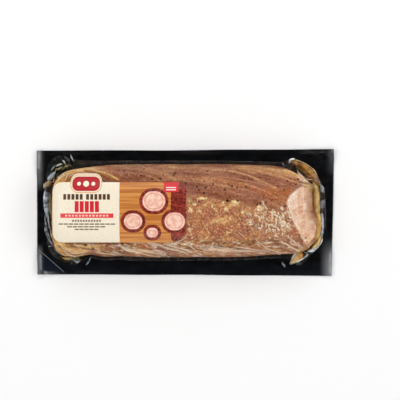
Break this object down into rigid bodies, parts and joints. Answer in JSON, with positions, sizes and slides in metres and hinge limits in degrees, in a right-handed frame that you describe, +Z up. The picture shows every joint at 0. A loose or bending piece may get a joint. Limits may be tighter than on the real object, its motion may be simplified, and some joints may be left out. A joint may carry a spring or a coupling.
{
  "type": "vacuum packed seasoned pork loin fillet",
  "caption": "Seasoned pork loin fillet sealed under clear film on a flat black backing web, with a paper label on its upper face.",
  "frame": {"origin": "middle of the underside of the pack's box, on the surface that the pack lies on", "axes": "+X along the pack's length towards the fillet's slanted cut face, +Y across the face towards the edge that was uppermost, +Z up out of the clear side"},
  "size_m": [0.2735, 0.1168, 0.043],
  "materials": {
    "black_film": "glossy black packaging film",
    "seasoned_pork": "wet seasoned pork seen through tight clear film",
    "clear_film": "thin clear glossy film",
    "label_paper": "smooth printed label paper"
  },
  "bodies": {
    "root": {"backing_web": "black_film", "film_pouch": "seasoned_pork", "front_label": "label_paper"}
  },
  "joints": []
}
